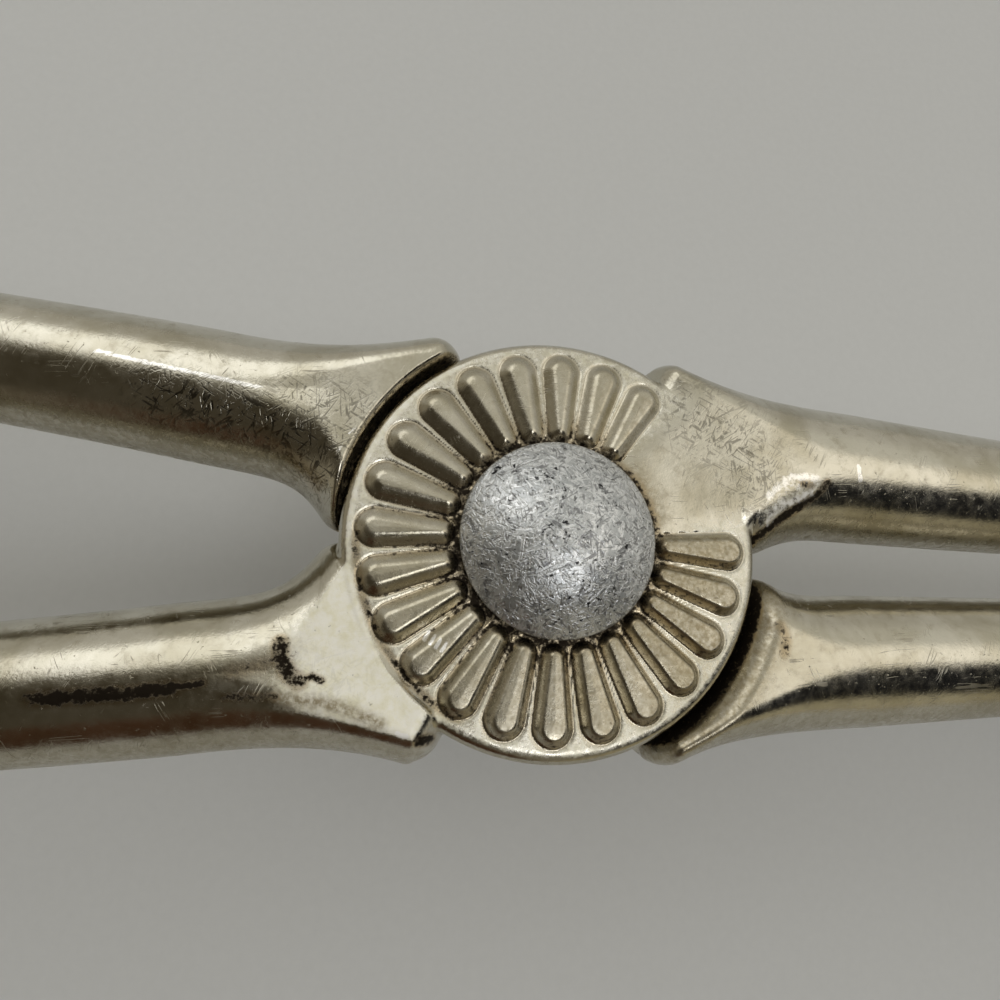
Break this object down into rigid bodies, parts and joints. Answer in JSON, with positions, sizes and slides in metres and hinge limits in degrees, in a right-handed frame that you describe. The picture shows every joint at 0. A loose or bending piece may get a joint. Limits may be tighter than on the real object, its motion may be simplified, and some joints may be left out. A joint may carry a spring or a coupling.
{
  "type": "scissor serving tongs",
  "caption": "Silver-plated scissor serving tongs with crossed cast arms, a riveted petal disc, finger rings, and a spoon and fork that meet to grip food.",
  "frame": {"origin": "on the pivot axis, on the flat end of the rivet's tail at the back", "axes": "+X towards the spoon and fork, +Y across the tongs on the spoon's side, +Z along the pivot axis out of the domed front"},
  "size_m": [0.2594, 0.082, 0.0453],
  "materials": {
    "cast_silver": "worn silver plate on cast brass, tarnished in the grooves",
    "ring_silver": "worn silver plate, rubbed smooth",
    "head_silver": "worn silver plate on stamped brass",
    "rivet_grey": "satin, pitted and scratched",
    "burr_grey": "satin"
  },
  "bodies": {
    "front_arm": {"front_arm": "cast_silver", "front_finger_ring": "ring_silver", "spoon_bowl": "head_silver", "pivot_rivet": "rivet_grey", "rivet_burr": "burr_grey"},
    "rear_arm": {"rear_arm": "cast_silver", "rear_finger_ring": "ring_silver", "fork_head": "head_silver"}
  },
  "joints": [
    {"name": "pivot", "type": "hinge", "parent": "front_arm", "child": "rear_arm", "pos_m": [0, 0, 0.00615], "axis": [0, 0, -1], "range_deg": [0, 54]}
  ]
}
